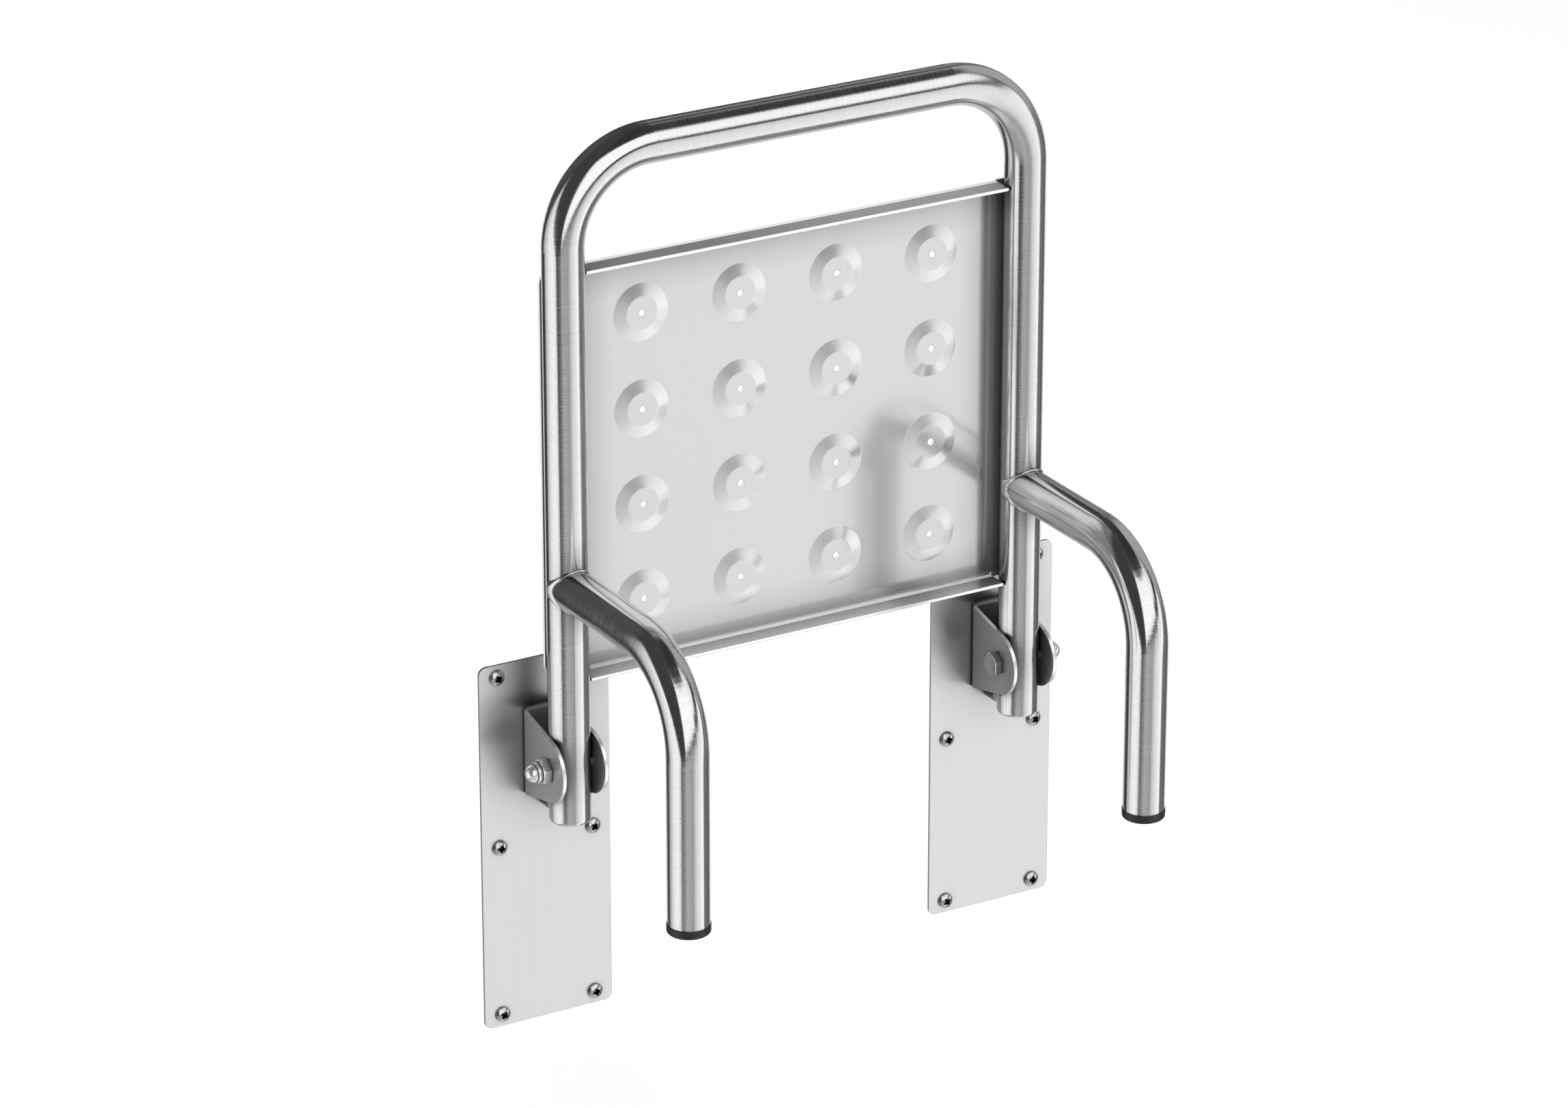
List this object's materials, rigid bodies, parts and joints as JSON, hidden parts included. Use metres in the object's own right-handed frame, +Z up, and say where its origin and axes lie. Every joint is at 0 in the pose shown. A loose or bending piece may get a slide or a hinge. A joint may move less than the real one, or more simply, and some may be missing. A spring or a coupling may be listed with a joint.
{
  "type": "fold down wall seat",
  "caption": "Fold down wall seat in bent steel tube with a dimpled sheet panel, side braces, hinge brackets and screwed wall plates.",
  "frame": {"origin": "on the wall surface, midway between the two hinges and level with their pivot axis", "axes": "+X along the wall to the right as seen by someone facing it, +Y into the wall, +Z up"},
  "size_m": [0.506, 0.2576, 0.721],
  "materials": {
    "plate_steel": "satin, brushed upright",
    "tube_steel": "satin, brushed round the tube",
    "panel_steel": "soft mirror, finely brushed",
    "bracket_steel": "satin with bright cut edges",
    "weld_steel": "dressed weld bead",
    "bolt_steel": "plain machined",
    "nut_steel": "polished",
    "screw_steel": "polished",
    "black_plastic": "smooth black"
  },
  "bodies": {
    "wall_mounts": {"wall_plate_left": "plate_steel", "wall_plate_right": "plate_steel", "wall_screws_left": "screw_steel", "wall_screws_right": "screw_steel", "hinge_bracket_left": "bracket_steel", "hinge_bracket_right": "bracket_steel", "stop_peg_left": "bolt_steel", "stop_peg_right": "bolt_steel"},
    "pivot_bolts": {"pivot_bolt_left": "bolt_steel", "pivot_bolt_right": "bolt_steel", "dome_nut_left": "nut_steel", "dome_nut_right": "nut_steel"},
    "seat": {"seat_frame": "tube_steel", "seat_panel": "panel_steel", "brace_left": "tube_steel", "brace_right": "tube_steel", "brace_weld_left": "weld_steel", "brace_weld_right": "weld_steel", "end_cap_left": "black_plastic", "end_cap_right": "black_plastic"}
  },
  "joints": [
    {"name": "seat_fold", "type": "hinge", "parent": "wall_mounts", "child": "pivot_bolts", "pos_m": [0, -0.041, 0], "axis": [1, 0, 0], "range_deg": [0, 89]},
    {"name": "seat_lift", "type": "slide", "parent": "pivot_bolts", "child": "seat", "axis": [0, 0, 1], "range_m": [0, 0.022]}
  ],
  "couplings": [
    {"joint": "seat_lift", "follows": "seat_fold", "m_per_rad": 0.014}
  ]
}
